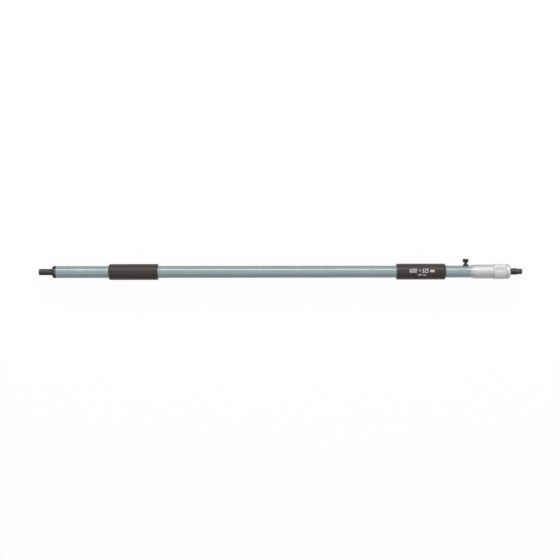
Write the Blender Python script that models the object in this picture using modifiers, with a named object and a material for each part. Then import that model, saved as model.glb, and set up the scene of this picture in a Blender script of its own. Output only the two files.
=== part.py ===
"""A tubular inside micrometer, 600 to 625 mm, at reading zero, lying as it comes to rest.

The rod is modelled along local +Z, from the anvil's measuring face at 0, with the clamp screw along local +X
and the printed side facing local +Y. An empty lays the rod along world X and rolls it until the rim of the
clamp screw's head and the two grips touch the same floor, at z = 0. World X and Y are 0 in the middle.
"""

import math

import bmesh
import bpy
from mathutils import Vector

MM = 0.001

# Instrument
LENGTH_AT_ZERO = 600 * MM
TRAVEL = 25 * MM

# Clearances
SEAT_GAP = 0.3 * MM
RUNNING_GAP = 0.1 * MM
BRAZE_GAP = 0.1 * MM

# Tube
TUBE_R = 7.42 * MM
TUBE_WALL = 1.5 * MM
TUBE_CHAMFER = 0.3 * MM

# Grips
GRIP_WALL = 2.18 * MM
GRIP_LENGTH = 60.4 * MM
GRIP_OUTER_FILLET = 1.8 * MM
GRIP_INNER_FILLET = 0.5 * MM
ANVIL_GRIP_SETBACK = 65.6 * MM
HEAD_GRIP_SETBACK = 30.2 * MM

# Anvil end
ANVIL_R = 3.82 * MM
ANVIL_REACH = 16.8 * MM
ANVIL_IN_TUBE = 20 * MM
ROD_CHAMFER = 0.4 * MM
COLLAR_LENGTH = 4.7 * MM
COLLAR_CONE_LENGTH = 1.3 * MM
COLLAR_NOSE_WALL = 1.6 * MM
COLLAR_HOLE_DEPTH = 1.6 * MM
END_BUSH_LENGTH = 24 * MM

# Measuring tips
TIP_LENGTH = 2 * MM
TIP_FACE_RADIUS = 28 * MM
TIP_FLAT_R = 0.8 * MM
TIP_CHAMFER = 0.3 * MM

# Spindle
SPINDLE_REACH = 15.6 * MM
SPINDLE_R = 3.9 * MM
SPINDLE_NECK_STEP = 0.65 * MM
SPINDLE_NECK_LENGTH = 4.9 * MM
SPINDLE_NECK_TAPER = 1.2 * MM
SPINDLE_SEAT_RISE = 0.6 * MM
SPINDLE_THREAD_STEP = 0.3 * MM
SPINDLE_JOURNAL_STEP = 0.4 * MM
SPINDLE_TAIL = 33 * MM

# Thimble
THIMBLE_EDGE_WALL = 0.6 * MM
THIMBLE_BEVEL_LENGTH = 6.1 * MM
THIMBLE_WALL = 1.45 * MM
THIMBLE_BARREL_LENGTH = 20.2 * MM
THIMBLE_GROOVE_LENGTH = 0.9 * MM
THIMBLE_GROOVE_DEPTH = 0.3 * MM
THIMBLE_WEB = 6.4 * MM
KNURL_RISE = 0.65 * MM
KNURL_DEPTH = 0.3 * MM
KNURL_MARGIN = 0.3 * MM
CAP_STEP = 0.2 * MM
CAP_LENGTH = 4.6 * MM
CAP_CHAMFER = 1.2 * MM
CAP_BOSS_WALL = 1.6 * MM
CAP_BOSS_LENGTH = 2.1 * MM
CAP_PIN_HOLE_R = 0.6 * MM
CAP_PIN_HOLE_DEPTH = 1.5 * MM
CAP_PIN_HOLE_COUNT = 2

# Sleeves and nut
OUTER_SLEEVE_STEP = 0.37 * MM
OUTER_SLEEVE_SHOWING = 1.6 * MM
OUTER_SLEEVE_OVERLAP = 3 * MM
OUTER_SLEEVE_CHAMFER = 0.2 * MM
SPANNER_HOLE_R = 0.8 * MM
SPANNER_HOLE_PLACE = 14 * MM
GUIDE_LENGTH = 29 * MM
GUIDE_SHORT_OF_TUBE_END = 2.4 * MM
RELIEF_DEPTH = 0.3 * MM
NUT_LENGTH = 13 * MM
NUT_TAPER_LENGTH = 8.5 * MM
NUT_TAPER_DROP = 0.62 * MM
NUT_CLEARANCE = 1.2 * MM
SLIT_COUNT = 3
SLIT_WIDTH = 0.8 * MM
SLIT_BEYOND_NUT = 2.5 * MM
RING_LENGTH = 4.6 * MM
RING_CLEARANCE = 1.5 * MM
RING_SIDE_CLEARANCE = 0.5 * MM
RING_SETBACK = 1.2 * MM
RING_NOTCH_WIDTH = 1.4 * MM
RING_NOTCH_DEPTH = 1.2 * MM
RING_NOTCH_COUNT = 2

# Clamp
CLAMP_SETBACK = 4.6 * MM
CLAMP_BUSH_R = 3.2 * MM
CLAMP_BUSH_SINK = 0.72 * MM
CLAMP_BUSH_STAND = 1.28 * MM
CLAMP_BUSH_CONE = 1.4 * MM
CLAMP_BUSH_TOP_WALL = 0.7 * MM
CLAMP_STEM_R = 1.3 * MM
CLAMP_STEM_RECESS = 0.5 * MM
CLAMP_HEAD_R = 3.5 * MM
CLAMP_HEAD_GAP = 0.65 * MM
CLAMP_HEAD_LENGTH = 4.9 * MM
CLAMP_HEAD_CONE = 0.9 * MM
CLAMP_HEAD_CHAMFER = 0.35 * MM
CLAMP_KNURL_DEPTH = 0.25 * MM

# Facets
ROUND_SIDES = 48
THIMBLE_SIDES = 72
KNURL_ROWS = 12
CLAMP_HEAD_SIDES = 48
SMALL_SIDES = 24
ARC_STEPS = 4
MERGE = 0.00001
SHARP_DEG = 30

# Places along the rod
COLLAR_CONE_END = ANVIL_REACH + COLLAR_CONE_LENGTH
COLLAR_END = ANVIL_REACH + COLLAR_LENGTH
TUBE_START = COLLAR_END + SEAT_GAP
THIMBLE_END = LENGTH_AT_ZERO - SPINDLE_REACH
CAP_START = THIMBLE_END - CAP_LENGTH
THIMBLE_BODY_END = CAP_START - SEAT_GAP
THIMBLE_HOLLOW_END = THIMBLE_BODY_END - THIMBLE_WEB
NUT_END = THIMBLE_HOLLOW_END - NUT_CLEARANCE
NUT_START = NUT_END - NUT_LENGTH
RING_END = NUT_END - RING_SETBACK
RING_START = RING_END - RING_LENGTH
OUTER_SLEEVE_END = RING_START - RING_CLEARANCE
THIMBLE_EDGE = OUTER_SLEEVE_END - OUTER_SLEEVE_OVERLAP - TRAVEL
OUTER_SLEEVE_START = THIMBLE_EDGE - OUTER_SLEEVE_SHOWING
TUBE_END = OUTER_SLEEVE_START - SEAT_GAP
RELIEF_START = TUBE_END - GUIDE_SHORT_OF_TUBE_END
INNER_SLEEVE_START = RELIEF_START - GUIDE_LENGTH
THREAD_START = NUT_START - TRAVEL
CLAMP_PLACE = TUBE_END - CLAMP_SETBACK
SPINDLE_START = CLAMP_PLACE - SPINDLE_TAIL
TIP_START = LENGTH_AT_ZERO - TIP_LENGTH
ANVIL_GRIP_START = TUBE_START + ANVIL_GRIP_SETBACK
HEAD_GRIP_START = TUBE_END - HEAD_GRIP_SETBACK - GRIP_LENGTH

# Radii and fits, from the tube and the spindle outwards
TUBE_BORE_R = TUBE_R - TUBE_WALL
IN_TUBE_R = TUBE_BORE_R - SEAT_GAP
ON_TUBE_R = TUBE_R + SEAT_GAP
GRIP_R = ON_TUBE_R + GRIP_WALL
COLLAR_R = TUBE_R
ANVIL_BORE_R = ANVIL_R + RUNNING_GAP
OUTER_SLEEVE_R = TUBE_R - OUTER_SLEEVE_STEP
OUTER_SLEEVE_BORE_R = IN_TUBE_R + RUNNING_GAP
THIMBLE_BORE_R = OUTER_SLEEVE_R + RUNNING_GAP
THIMBLE_EDGE_R = THIMBLE_BORE_R + THIMBLE_EDGE_WALL
THIMBLE_BARREL_R = THIMBLE_BORE_R + THIMBLE_WALL
KNURL_R = THIMBLE_BARREL_R + KNURL_RISE
CAP_R = KNURL_R - CAP_STEP
CAP_BORE_R = SPINDLE_R + SEAT_GAP
CAP_BOSS_R = CAP_BORE_R + CAP_BOSS_WALL
CAP_FACE_R = CAP_R - CAP_CHAMFER
SPINDLE_NECK_R = SPINDLE_R - SPINDLE_NECK_STEP
SPINDLE_SEAT_R = SPINDLE_R + SPINDLE_SEAT_RISE
SPINDLE_THREAD_R = SPINDLE_R - SPINDLE_THREAD_STEP
SPINDLE_JOURNAL_R = SPINDLE_THREAD_R - SPINDLE_JOURNAL_STEP
GUIDE_BORE_R = SPINDLE_JOURNAL_R + RUNNING_GAP
NUT_BORE_R = SPINDLE_THREAD_R + RUNNING_GAP
RELIEF_R = NUT_BORE_R + RELIEF_DEPTH
NUT_END_R = IN_TUBE_R - NUT_TAPER_DROP
RING_R = THIMBLE_BORE_R - RING_SIDE_CLEARANCE

# Clamp, with heights measured from the rod's axis
CLAMP_BUSH_FOOT = IN_TUBE_R - CLAMP_BUSH_SINK
CLAMP_BUSH_SHOULDER = TUBE_R + CLAMP_BUSH_STAND
CLAMP_BUSH_TOP = CLAMP_BUSH_SHOULDER + CLAMP_BUSH_CONE
CLAMP_BORE_R = CLAMP_STEM_R + RUNNING_GAP
CLAMP_BUSH_TOP_R = CLAMP_BORE_R + CLAMP_BUSH_TOP_WALL
CLAMP_HOLE_R = CLAMP_BUSH_R + SEAT_GAP
CLAMP_HOLE_FLOOR = CLAMP_BUSH_FOOT - SEAT_GAP
CLAMP_STEM_FOOT = CLAMP_BUSH_FOOT + CLAMP_STEM_RECESS
CLAMP_HEAD_UNDERSIDE = CLAMP_BUSH_TOP + CLAMP_HEAD_GAP
CLAMP_HEAD_TOP = CLAMP_HEAD_UNDERSIDE + CLAMP_HEAD_LENGTH
CLAMP_PLUG_FOOT = SPINDLE_JOURNAL_R + SEAT_GAP
CLAMP_PLUG_TOP = CLAMP_STEM_FOOT - RUNNING_GAP

# Rest: the lowest facets of the grips and the rim of the clamp screw's head lie on one floor
GRIP_REST_HEIGHT = GRIP_R * math.cos(math.pi / ROUND_SIDES)
HEAD_RIM_HEIGHT = CLAMP_HEAD_TOP - CLAMP_HEAD_CHAMFER
HEAD_RIM_REACH = math.hypot(HEAD_RIM_HEIGHT, CLAMP_HEAD_R)
ROLL = math.asin(GRIP_REST_HEIGHT / HEAD_RIM_REACH) - math.atan2(CLAMP_HEAD_R, HEAD_RIM_HEIGHT)
HEAD_TOP_R = CLAMP_HEAD_R - CLAMP_HEAD_CHAMFER
HEAD_SIDE_REACH = CLAMP_HEAD_TOP * math.cos(ROLL) + HEAD_TOP_R * math.sin(ROLL)
AXIS_Y = (GRIP_REST_HEIGHT - HEAD_SIDE_REACH) / 2
FLOOR_FACING_TURN = ROLL - math.pi / 2 - math.pi / ROUND_SIDES


def clear_scene():
    """Removes what the startup scene holds."""
    for old in list(bpy.data.objects):
        bpy.data.objects.remove(old)


def collection(name, hidden=False):
    """A new collection in the scene."""
    made = bpy.data.collections.new(name)
    made.hide_render = hidden
    bpy.context.scene.collection.children.link(made)
    return made


def empty(name, group, parent=None):
    """An empty that other objects hang on."""
    made = bpy.data.objects.new(name, None)
    made.empty_display_size = 10 * MM
    made.parent = parent
    group.objects.link(made)
    return made


def material(name, colour, roughness, metallic):
    """A Principled material."""
    made = bpy.data.materials.new(name)
    made.use_nodes = True
    shader = made.node_tree.nodes["Principled BSDF"]
    shader.inputs["Base Color"].default_value = (*colour, 1)
    shader.inputs["Roughness"].default_value = roughness
    shader.inputs["Metallic"].default_value = metallic
    return made


def round_corner(corner_r, corner_z, fillet, start_deg):
    """Points of a quarter round at a piece's outer corner, turning clockwise from the start angle."""
    towards = -1 if start_deg == 0 else 1
    centre_r = corner_r - fillet
    centre_z = corner_z - towards * fillet
    points = []
    for step in range(ARC_STEPS + 1):
        angle = math.radians(start_deg - 90 * step / ARC_STEPS)
        points.append((centre_r + fillet * math.cos(angle), centre_z + fillet * math.sin(angle)))
    return points


def turned(name, outline, sides, look, parent, group):
    """A turned piece: its outline swept once round local Z.

    The outline holds (radius, place) points, down the outer side and, on a hollow piece, back up the bore.
    """
    edges = [(i, i + 1) for i in range(len(outline) - 1)]
    if outline[0][0] > 0:
        edges.append((len(outline) - 1, 0))
    mesh = bpy.data.meshes.new(name)
    mesh.from_pydata([(radius, 0, place) for radius, place in outline], edges, [])
    mesh.materials.append(look)
    made = bpy.data.objects.new(name, mesh)
    made.parent = parent
    group.objects.link(made)
    screw = made.modifiers.new("Turn", "SCREW")
    screw.axis = "Z"
    screw.angle = math.tau
    screw.steps = sides
    screw.render_steps = sides
    screw.use_merge_vertices = True
    screw.merge_threshold = MERGE
    return made


def settle_mesh(piece):
    """Turns a piece's modifiers into its mesh."""
    bpy.context.view_layer.update()
    graph = bpy.context.evaluated_depsgraph_get()
    finished = bpy.data.meshes.new_from_object(piece.evaluated_get(graph))
    piece.modifiers.clear()
    piece.data = finished


def knurl(piece, sides, outer_r, depth, start, row_step, crossed):
    """Presses every other point of a turned piece's outer wall inwards, straight or crossed into diamonds."""
    settle_mesh(piece)
    work = bmesh.new()
    work.from_mesh(piece.data)
    for vertex in work.verts:
        radius = vertex.co.xy.length
        if radius < outer_r - depth / 2:
            continue
        column = round(math.atan2(vertex.co.y, vertex.co.x) / math.tau * sides)
        row = round((vertex.co.z - start) / row_step) if crossed else 0
        if (column + row) % 2:
            vertex.co.xy *= (radius - depth) / radius
    bmesh.ops.triangulate(work, faces=work.faces[:], quad_method="SHORT_EDGE")
    work.to_mesh(piece.data)
    work.free()


def cutter(name, work, parent, group, place=(0, 0, 0), turn=(0, 0, 0)):
    """A hidden object that cuts other pieces."""
    mesh = bpy.data.meshes.new(name)
    work.to_mesh(mesh)
    work.free()
    made = bpy.data.objects.new(name, mesh)
    made.parent = parent
    made.location = place
    made.rotation_euler = turn
    made.hide_render = True
    made.display_type = "WIRE"
    group.objects.link(made)
    return made


def round_cutter(name, radius, low, high, parent, group, place=(0, 0, 0), turn=(0, 0, 0)):
    """A round cutter along its own Z, from low to high."""
    work = bmesh.new()
    bmesh.ops.create_cone(
        work, cap_ends=True, segments=SMALL_SIDES, radius1=radius, radius2=radius, depth=high - low
    )
    bmesh.ops.translate(work, vec=(0, 0, (low + high) / 2), verts=work.verts)
    return cutter(name, work, parent, group, place, turn)


def box_cutter(name, size, place, parent, group, turn=(0, 0, 0)):
    """A box cutter of that size, with its middle at that place before it is turned about the axis."""
    work = bmesh.new()
    bmesh.ops.create_cube(work, size=1)
    bmesh.ops.scale(work, vec=Vector(size), verts=work.verts)
    bmesh.ops.translate(work, vec=Vector(place), verts=work.verts)
    return cutter(name, work, parent, group, turn=turn)


def cut(piece, tool):
    """Takes a cutter's shape out of a piece."""
    step = piece.modifiers.new(tool.name, "BOOLEAN")
    step.operation = "DIFFERENCE"
    step.object = tool


def make_tube(look, rod, group):
    outline = [
        (TUBE_R - TUBE_CHAMFER, TUBE_END),
        (TUBE_R, TUBE_END - TUBE_CHAMFER),
        (TUBE_R, TUBE_START + TUBE_CHAMFER),
        (TUBE_R - TUBE_CHAMFER, TUBE_START),
        (TUBE_BORE_R, TUBE_START),
        (TUBE_BORE_R, TUBE_END),
    ]
    return turned("rod_tube", outline, ROUND_SIDES, look, rod, group)


def make_grip(name, start, low_fillet, high_fillet, look, rod, group):
    end = start + GRIP_LENGTH
    outline = round_corner(GRIP_R, end, high_fillet, 90)
    outline += round_corner(GRIP_R, start, low_fillet, 0)
    outline += [(ON_TUBE_R, start), (ON_TUBE_R, end)]
    grip = turned(name, outline, ROUND_SIDES, look, rod, group)
    grip.rotation_euler.z = FLOOR_FACING_TURN
    return grip


def cut_hook_hole(piece, place, floor_r, parent, cutters):
    """A radial hole for the hook spanner, on the side away from the printing."""
    hole = round_cutter(
        f"{piece.name}_hook_hole",
        SPANNER_HOLE_R,
        floor_r,
        2 * TUBE_R,
        parent,
        cutters,
        place=(0, 0, place),
        turn=(math.pi / 2, 0, 0),
    )
    cut(piece, hole)


def make_anvil_end(steel, black, rod, group, cutters):
    end = COLLAR_END + ANVIL_IN_TUBE
    outline = [
        (0, end),
        (ANVIL_R - ROD_CHAMFER, end),
        (ANVIL_R, end - ROD_CHAMFER),
        (ANVIL_R, TIP_LENGTH + BRAZE_GAP),
        (0, TIP_LENGTH + BRAZE_GAP),
    ]
    turned("anvil", outline, ROUND_SIDES, black, rod, group)

    outline = [
        (COLLAR_R, COLLAR_END),
        (COLLAR_R, COLLAR_CONE_END),
        (ANVIL_R + COLLAR_NOSE_WALL, ANVIL_REACH),
        (ANVIL_BORE_R, ANVIL_REACH),
        (ANVIL_BORE_R, COLLAR_END),
    ]
    collar = turned("anvil_collar", outline, ROUND_SIDES, black, rod, group)
    cut_hook_hole(collar, (COLLAR_CONE_END + COLLAR_END) / 2, COLLAR_R - COLLAR_HOLE_DEPTH, rod, cutters)

    outline = [
        (IN_TUBE_R, TUBE_START + END_BUSH_LENGTH),
        (IN_TUBE_R, TUBE_START),
        (ANVIL_BORE_R, TUBE_START),
        (ANVIL_BORE_R, TUBE_START + END_BUSH_LENGTH),
    ]
    turned("anvil_end_bush", outline, ROUND_SIDES, steel, rod, group)


def tip_outline(radius):
    """A measuring tip from its brazed back at TIP_LENGTH down to the flat in the middle of its domed face."""

    def sag(r):
        return TIP_FACE_RADIUS - math.sqrt(TIP_FACE_RADIUS**2 - r**2)

    rim = radius - TIP_CHAMFER
    outline = [(0, TIP_LENGTH), (radius, TIP_LENGTH), (radius, sag(rim) + TIP_CHAMFER)]
    for step in range(ARC_STEPS + 1):
        r = rim + (TIP_FLAT_R - rim) * step / ARC_STEPS
        outline.append((r, sag(r) - sag(TIP_FLAT_R)))
    outline.append((0, 0))
    return outline


def make_tips(look, rod, slide, group):
    turned("anvil_tip", tip_outline(ANVIL_R), ROUND_SIDES, look, rod, group)
    mirrored = [(r, LENGTH_AT_ZERO - z) for r, z in reversed(tip_outline(SPINDLE_NECK_R))]
    turned("spindle_tip", mirrored, ROUND_SIDES, look, slide, group)


def make_spindle(look, screw, group):
    neck_start = LENGTH_AT_ZERO - SPINDLE_NECK_LENGTH
    outline = [
        (0, TIP_START - BRAZE_GAP),
        (SPINDLE_NECK_R, TIP_START - BRAZE_GAP),
        (SPINDLE_NECK_R, neck_start),
        (SPINDLE_R, neck_start - SPINDLE_NECK_TAPER),
        (SPINDLE_R, CAP_START - CAP_BOSS_LENGTH),
        (SPINDLE_SEAT_R, THIMBLE_HOLLOW_END),
        (SPINDLE_THREAD_R, THIMBLE_HOLLOW_END),
        (SPINDLE_THREAD_R, THREAD_START),
        (SPINDLE_JOURNAL_R, THREAD_START - ROD_CHAMFER),
        (SPINDLE_JOURNAL_R, SPINDLE_START + ROD_CHAMFER),
        (SPINDLE_JOURNAL_R - ROD_CHAMFER, SPINDLE_START),
        (0, SPINDLE_START),
    ]
    return turned("spindle", outline, ROUND_SIDES, look, screw, group)


def make_thimble(look, screw, group, cutters):
    bevel_end = THIMBLE_EDGE + THIMBLE_BEVEL_LENGTH
    barrel_end = bevel_end + THIMBLE_BARREL_LENGTH
    groove_end = barrel_end + THIMBLE_GROOVE_LENGTH
    groove_r = THIMBLE_BARREL_R - THIMBLE_GROOVE_DEPTH
    knurl_start = groove_end + KNURL_MARGIN
    knurl_step = (THIMBLE_BODY_END - KNURL_MARGIN - knurl_start) / KNURL_ROWS
    knurl_foot_r = KNURL_R - KNURL_DEPTH
    recess_floor = CAP_START - CAP_BOSS_LENGTH - SEAT_GAP
    recess_r = CAP_BOSS_R + SEAT_GAP

    outline = [(knurl_foot_r - KNURL_MARGIN, THIMBLE_BODY_END)]
    for row in range(KNURL_ROWS, -1, -1):
        at_end = row in (0, KNURL_ROWS)
        outline.append((knurl_foot_r if at_end else KNURL_R, knurl_start + row * knurl_step))
    outline += [
        (groove_r, groove_end),
        (groove_r, barrel_end),
        (THIMBLE_BARREL_R, barrel_end - THIMBLE_GROOVE_DEPTH),
        (THIMBLE_BARREL_R, bevel_end),
        (THIMBLE_EDGE_R, THIMBLE_EDGE),
        (THIMBLE_BORE_R, THIMBLE_EDGE),
        (THIMBLE_BORE_R, THIMBLE_HOLLOW_END),
        (SPINDLE_SEAT_R + SEAT_GAP, THIMBLE_HOLLOW_END),
        (SPINDLE_R + SEAT_GAP, recess_floor),
        (recess_r, recess_floor),
        (recess_r, THIMBLE_BODY_END),
    ]
    thimble = turned("thimble", outline, THIMBLE_SIDES, look, screw, group)
    knurl(thimble, THIMBLE_SIDES, KNURL_R, KNURL_DEPTH, knurl_start, knurl_step, crossed=True)

    boss_foot = CAP_START - CAP_BOSS_LENGTH
    outline = [
        (CAP_FACE_R, THIMBLE_END),
        (CAP_R, THIMBLE_END - CAP_CHAMFER),
        (CAP_R, CAP_START),
        (CAP_BOSS_R, CAP_START),
        (CAP_BOSS_R, boss_foot),
        (CAP_BORE_R, boss_foot),
        (CAP_BORE_R, THIMBLE_END),
    ]
    cap = turned("thimble_cap", outline, THIMBLE_SIDES, look, screw, group)
    pin_circle_r = (CAP_BORE_R + CAP_FACE_R) / 2
    for number in range(CAP_PIN_HOLE_COUNT):
        angle = math.tau * number / CAP_PIN_HOLE_COUNT
        pin_hole = round_cutter(
            f"cap_pin_hole_{number + 1}",
            CAP_PIN_HOLE_R,
            THIMBLE_END - CAP_PIN_HOLE_DEPTH,
            THIMBLE_END + CAP_PIN_HOLE_DEPTH,
            screw,
            cutters,
            place=(pin_circle_r * math.cos(angle), pin_circle_r * math.sin(angle), 0),
        )
        cut(cap, pin_hole)


def nut_outside_r(place):
    """Radius of the inner sleeve's outside, which tapers towards its end."""
    taper = (place - NUT_END + NUT_TAPER_LENGTH) / NUT_TAPER_LENGTH
    return IN_TUBE_R - max(taper, 0) * NUT_TAPER_DROP


def make_inner_sleeve(look, rod, group):
    outline = [
        (NUT_END_R, NUT_END),
        (IN_TUBE_R, NUT_END - NUT_TAPER_LENGTH),
        (IN_TUBE_R, INNER_SLEEVE_START),
        (GUIDE_BORE_R, INNER_SLEEVE_START),
        (GUIDE_BORE_R, RELIEF_START),
        (RELIEF_R, RELIEF_START),
        (RELIEF_R, NUT_START),
        (NUT_BORE_R, NUT_START),
        (NUT_BORE_R, NUT_END),
    ]
    return turned("inner_sleeve", outline, ROUND_SIDES, look, rod, group)


def cut_slits(inner_sleeve, rod, cutters):
    """The saw cuts that let the nut close on the spindle's thread."""
    length = NUT_LENGTH + SLIT_BEYOND_NUT
    reach = 2 * IN_TUBE_R
    for number in range(SLIT_COUNT):
        slit = box_cutter(
            f"slit_{number + 1}",
            (reach, SLIT_WIDTH, 2 * length),
            (reach / 2, 0, NUT_END),
            rod,
            cutters,
            turn=(0, 0, math.tau * number / SLIT_COUNT),
        )
        cut(inner_sleeve, slit)


def make_adjusting_ring(look, rod, group, cutters):
    outline = [
        (RING_R, RING_END),
        (RING_R, RING_START),
        (nut_outside_r(RING_START) + SEAT_GAP, RING_START),
        (nut_outside_r(RING_END) + SEAT_GAP, RING_END),
    ]
    ring = turned("adjusting_nut", outline, ROUND_SIDES, look, rod, group)
    for number in range(RING_NOTCH_COUNT):
        notch = box_cutter(
            f"ring_notch_{number + 1}",
            (2 * RING_R, RING_NOTCH_WIDTH, 2 * RING_NOTCH_DEPTH),
            (RING_R, 0, RING_END),
            rod,
            cutters,
            turn=(0, 0, math.tau * number / RING_NOTCH_COUNT),
        )
        cut(ring, notch)


def make_outer_sleeve(look, rod, group, cutters):
    outline = [
        (OUTER_SLEEVE_R - OUTER_SLEEVE_CHAMFER, OUTER_SLEEVE_END),
        (OUTER_SLEEVE_R, OUTER_SLEEVE_END - OUTER_SLEEVE_CHAMFER),
        (OUTER_SLEEVE_R, OUTER_SLEEVE_START + OUTER_SLEEVE_CHAMFER),
        (OUTER_SLEEVE_R - OUTER_SLEEVE_CHAMFER, OUTER_SLEEVE_START),
        (OUTER_SLEEVE_BORE_R, OUTER_SLEEVE_START),
        (OUTER_SLEEVE_BORE_R, OUTER_SLEEVE_END),
    ]
    sleeve = turned("outer_sleeve", outline, ROUND_SIDES, look, rod, group)
    cut_hook_hole(sleeve, OUTER_SLEEVE_START + SPANNER_HOLE_PLACE, 0, rod, cutters)


def make_clamp(black, brass, clamp, group):
    outline = [
        (CLAMP_BUSH_TOP_R, CLAMP_BUSH_TOP),
        (CLAMP_BUSH_R, CLAMP_BUSH_SHOULDER),
        (CLAMP_BUSH_R, CLAMP_BUSH_FOOT),
        (CLAMP_BORE_R, CLAMP_BUSH_FOOT),
        (CLAMP_BORE_R, CLAMP_BUSH_TOP),
    ]
    turned("clamp_bush", outline, SMALL_SIDES, black, clamp, group)

    outline = [
        (0, CLAMP_HEAD_TOP),
        (HEAD_TOP_R, CLAMP_HEAD_TOP),
        (CLAMP_HEAD_R, HEAD_RIM_HEIGHT),
        (CLAMP_HEAD_R, CLAMP_HEAD_UNDERSIDE + CLAMP_HEAD_CONE),
        (CLAMP_STEM_R, CLAMP_HEAD_UNDERSIDE),
        (CLAMP_STEM_R, CLAMP_STEM_FOOT),
        (0, CLAMP_STEM_FOOT),
    ]
    screw = turned("clamp_screw", outline, CLAMP_HEAD_SIDES, black, clamp, group)
    knurl(screw, CLAMP_HEAD_SIDES, CLAMP_HEAD_R, CLAMP_KNURL_DEPTH, 0, 1, crossed=False)

    outline = [
        (0, CLAMP_PLUG_TOP),
        (CLAMP_STEM_R, CLAMP_PLUG_TOP),
        (CLAMP_STEM_R, CLAMP_PLUG_FOOT),
        (0, CLAMP_PLUG_FOOT),
    ]
    turned("clamp_plug", outline, SMALL_SIDES, brass, clamp, group)


def cut_clamp_holes(tube, inner_sleeve, clamp, cutters):
    """The hole that the clamp's bush is screwed into, and the smaller one under it for the plug."""
    reach = 2 * TUBE_R
    bush_hole = round_cutter("clamp_bush_hole", CLAMP_HOLE_R, CLAMP_HOLE_FLOOR, reach, clamp, cutters)
    plug_hole = round_cutter("clamp_plug_hole", CLAMP_BORE_R, 0, reach, clamp, cutters)
    cut(tube, bush_hole)
    cut(inner_sleeve, bush_hole)
    cut(inner_sleeve, plug_hole)


def main():
    clear_scene()
    group = collection("inside_micrometer")
    cutters = collection("cutters", hidden=True)

    paint = material("hammertone_paint", (0.26, 0.33, 0.36), 0.35, 0.3)
    plastic = material("black_plastic", (0.035, 0.028, 0.026), 0.45, 0)
    chrome = material("satin_chrome", (0.72, 0.71, 0.7), 0.32, 1)
    black = material("blackened_steel", (0.03, 0.028, 0.03), 0.35, 0.8)
    carbide = material("carbide", (0.2, 0.2, 0.21), 0.2, 1)
    steel = material("bare_steel", (0.55, 0.55, 0.56), 0.3, 1)
    brass = material("brass", (0.72, 0.52, 0.25), 0.3, 1)

    rod = empty("rod_axis", group)
    rod.location = (-LENGTH_AT_ZERO / 2, AXIS_Y, GRIP_REST_HEIGHT)
    rod.rotation_mode = "YXZ"
    rod.rotation_euler = (math.pi / 2 - ROLL, math.pi / 2, 0)
    spindle_slide = empty("spindle_slide", group, rod)
    thimble_screw = empty("thimble_screw", group, spindle_slide)
    clamp = empty("clamp_axis", group, rod)
    clamp.location = (0, 0, CLAMP_PLACE)
    clamp.rotation_euler = (0, math.pi / 2, 0)

    tube = make_tube(paint, rod, group)
    make_grip(
        "anvil_grip", ANVIL_GRIP_START, GRIP_OUTER_FILLET, GRIP_INNER_FILLET, plastic, rod, group
    )
    make_grip(
        "head_grip", HEAD_GRIP_START, GRIP_INNER_FILLET, GRIP_OUTER_FILLET, plastic, rod, group
    )
    make_anvil_end(steel, black, rod, group, cutters)
    make_tips(carbide, rod, spindle_slide, group)
    make_spindle(black, thimble_screw, group)
    make_thimble(chrome, thimble_screw, group, cutters)
    inner_sleeve = make_inner_sleeve(steel, rod, group)
    cut_slits(inner_sleeve, rod, cutters)
    make_adjusting_ring(steel, rod, group, cutters)
    make_outer_sleeve(chrome, rod, group, cutters)
    make_clamp(black, brass, clamp, group)
    cut_clamp_holes(tube, inner_sleeve, clamp, cutters)

    for piece in group.objects:
        if piece.type == "MESH":
            settle_mesh(piece)
            piece.data.shade_smooth()
            piece.data.set_sharp_from_angle(angle=math.radians(SHARP_DEG))


main()
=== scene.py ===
"""Looks of a tubular inside micrometer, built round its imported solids.

Outlines and places are in millimetres in the rod's own frame: Z runs along the rod from the anvil's measuring
face, X points at the clamp screw and Y at the printed side. ROD carries that frame into the scene, where the
micrometer lies on the floor, and the camera looks at the printed side.
"""

import math

import bmesh
import bpy
from mathutils import Matrix, Vector


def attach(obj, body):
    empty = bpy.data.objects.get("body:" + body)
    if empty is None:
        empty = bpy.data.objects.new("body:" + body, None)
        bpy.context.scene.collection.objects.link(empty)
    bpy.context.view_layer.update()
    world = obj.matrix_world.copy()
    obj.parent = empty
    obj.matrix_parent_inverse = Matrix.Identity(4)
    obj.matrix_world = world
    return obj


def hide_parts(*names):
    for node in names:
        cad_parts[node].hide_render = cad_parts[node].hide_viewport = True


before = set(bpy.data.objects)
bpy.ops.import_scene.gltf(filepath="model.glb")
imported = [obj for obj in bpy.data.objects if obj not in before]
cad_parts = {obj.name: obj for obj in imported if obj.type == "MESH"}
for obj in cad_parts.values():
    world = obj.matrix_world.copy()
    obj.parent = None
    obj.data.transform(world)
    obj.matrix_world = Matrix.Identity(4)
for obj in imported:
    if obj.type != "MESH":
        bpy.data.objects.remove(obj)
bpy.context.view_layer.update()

MM = 0.001
LENGTH = 600
HALF_LENGTH = LENGTH / 2 * MM

# The rod's frame in the scene, as the solids lie at rest
ROLL = math.radians(26.121783)
UP = Vector((0, math.cos(ROLL), -math.sin(ROLL)))
FRONT = Vector((0, math.sin(ROLL), math.cos(ROLL)))
ALONG = Vector((1, 0, 0))
AXIS_START = Vector((-HALF_LENGTH, -0.0027798, 0.0098788))
ROD = Matrix.Translation(AXIS_START) @ Matrix((UP, FRONT, ALONG)).transposed().to_4x4()
MIDDLE = AXIS_START + HALF_LENGTH * ALONG

# The clamp screw's frame: Z along the screw, away from the rod
CLAMP_PLACE = 530.1
CLAMP = ROD @ Matrix.Translation((0, 0, CLAMP_PLACE * MM)) @ Matrix.Rotation(math.pi / 2, 4, "Y")

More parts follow.
